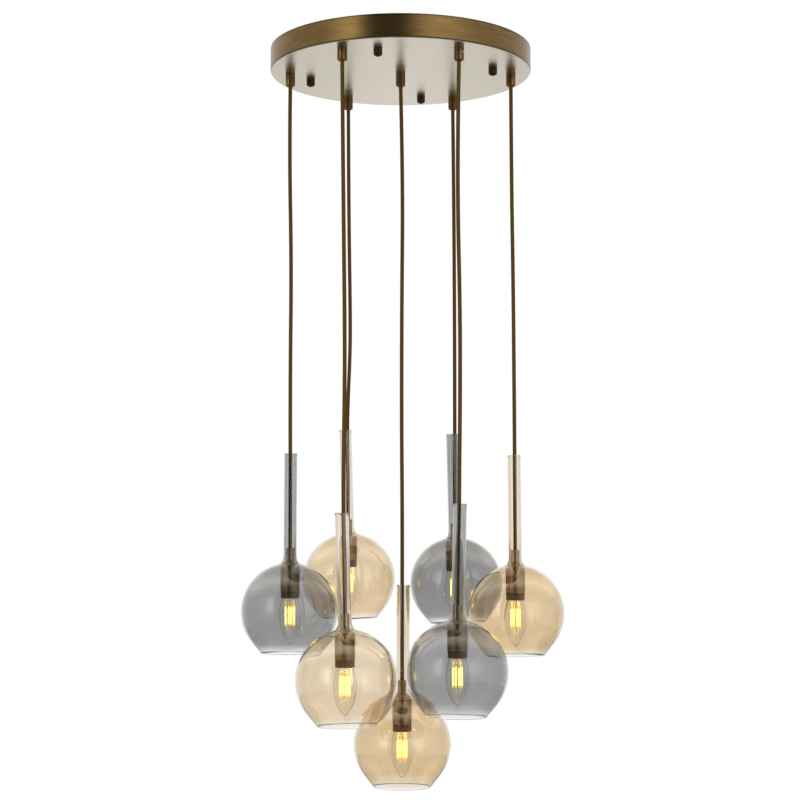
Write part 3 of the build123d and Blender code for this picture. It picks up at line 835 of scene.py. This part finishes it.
# the white sweep over the top and behind, as the upper half of each globe mirrors it
over = sky.plus(z, y)
sweep = sky.ramp(over, *SWEEP_FALL, *SWEEP_LIGHT)
high = sky.times(sky.ramp(over, *SWEEP_EDGE), sky.ramp(z, *SWEEP_FOOT))
low = sky.ramp(z, *BELOW)
level = sky.rest_of(sky.plus(high, low))
around = sky.plus(
    sky.times(level, round_ramp(ROOM)), sky.times(round_ramp(SOFT_BOXES), box_height),
    sky.times(high, sweep), sky.times(low, BELOW_LIGHT),
)

# a ray sees the room mirrored, or straight and through glass, or else is only lit by it
mirrors = sky.times(sky.any_of(rays["Glossy Depth"]), sky.rest_of(rays["Is Diffuse Ray"]))
seen = sky.larger(rays["Is Camera Ray"], rays["Is Transmission Ray"])
seen = sky.times(seen, sky.rest_of(mirrors))
lights = sky.times(sky.rest_of(sky.larger(seen, mirrors)), AMBIENT)
# the lamps don't reach through the glass, so the world lights the cords and holders inside it
inside = sky.times(seen, sky.any_of(rays["Diffuse Depth"]))
seen = sky.plus(seen, sky.times(inside, INSIDE))
background = sky.node("ShaderNodeBackground", {
    "Color": sky.mix(sky.times(mirrors, high), (1.0, 1.0, 1.0), WARM),
    "Strength": sky.plus(seen, sky.times(mirrors, around), lights),
})
sky.node("ShaderNodeOutputWorld", {0: background.outputs[0]})


# ---- lamps ------------------------------------------------------------------------------
def softbox(name, place, aim, width, height, power):
    light = bpy.data.lights.new(name, "AREA")
    light.shape = "RECTANGLE"
    light.size, light.size_y = width, height
    light.energy = power
    obj = link(bpy.data.objects.new(name, light))
    obj.visible_glossy = False
    obj.visible_transmission = False
    obj.location = place
    obj.rotation_euler = (Vector(aim) - Vector(place)).to_track_quat("-Z", "Y").to_euler()


softbox("key_left", (-1.55, -1.9, -0.65), (0, 0, -0.75), 0.9, 1.5, 26)
softbox("key_right", (1.75, -1.9, -0.55), (0, 0, -0.75), 0.9, 1.5, 22)
softbox("top", (0.2, -0.4, 1.6), (0, 0, -0.6), 1.8, 1.8, 22)

# ---- floor ------------------------------------------------------------------------------
FLOOR_Z, FLOOR_HALF_WIDTH = -2.4, 4.0
FLOOR_TONE = (0.93, 0.93, 0.93)
# The tones change with the distance from the origin, which is 2.4 from the floor's middle.
GLOW_AT, GLOW = (0.8, 3.4), (0.35, 1.0)  # it glows more farther out, where the lamps do less
MIRRORED_AT = (1.3, 4.0)
MIRRORED_NEAR, MIRRORED_FAR = (0.10, 0.10, 0.10), (0.62, 0.62, 0.62)


def floor_white():
    """White where it is seen straight, and darker where it is mirrored."""
    m = Mat("floor_white", FLOOR_TONE, Roughness=0.9)
    path = m.rays()
    mirrored = m.any_of(path["Glossy Depth"])
    straight = m.larger(path["Is Camera Ray"], path["Is Transmission Ray"])
    straight = m.times(straight, m.rest_of(mirrored))
    reach = m.node("ShaderNodeVectorMath", {0: m.coords()}, operation="LENGTH").outputs["Value"]
    m.to("Emission Color", (1, 1, 1, 1))
    m.to("Emission Strength", m.times(straight, m.ramp(reach, *GLOW_AT, *GLOW)))
    dark = m.mix(m.ramp(reach, *MIRRORED_AT), MIRRORED_NEAR, MIRRORED_FAR)
    m.to("Base Color", m.mix(mirrored, FLOOR_TONE, dark))
    return m.material


bm = bmesh.new()
bmesh.ops.create_grid(bm, x_segments=1, y_segments=1, size=FLOOR_HALF_WIDTH)
bmesh.ops.translate(bm, verts=bm.verts, vec=(0, 0, FLOOR_Z))
floor = mesh_object("floor", bm, smooth=False)
floor.data.materials.append(floor_white())

scene.view_settings.view_transform = "Standard"
scene.cycles.max_bounces = 32
scene.cycles.transmission_bounces = 32
scene.cycles.glossy_bounces = 8
scene.cycles.transparent_max_bounces = 32
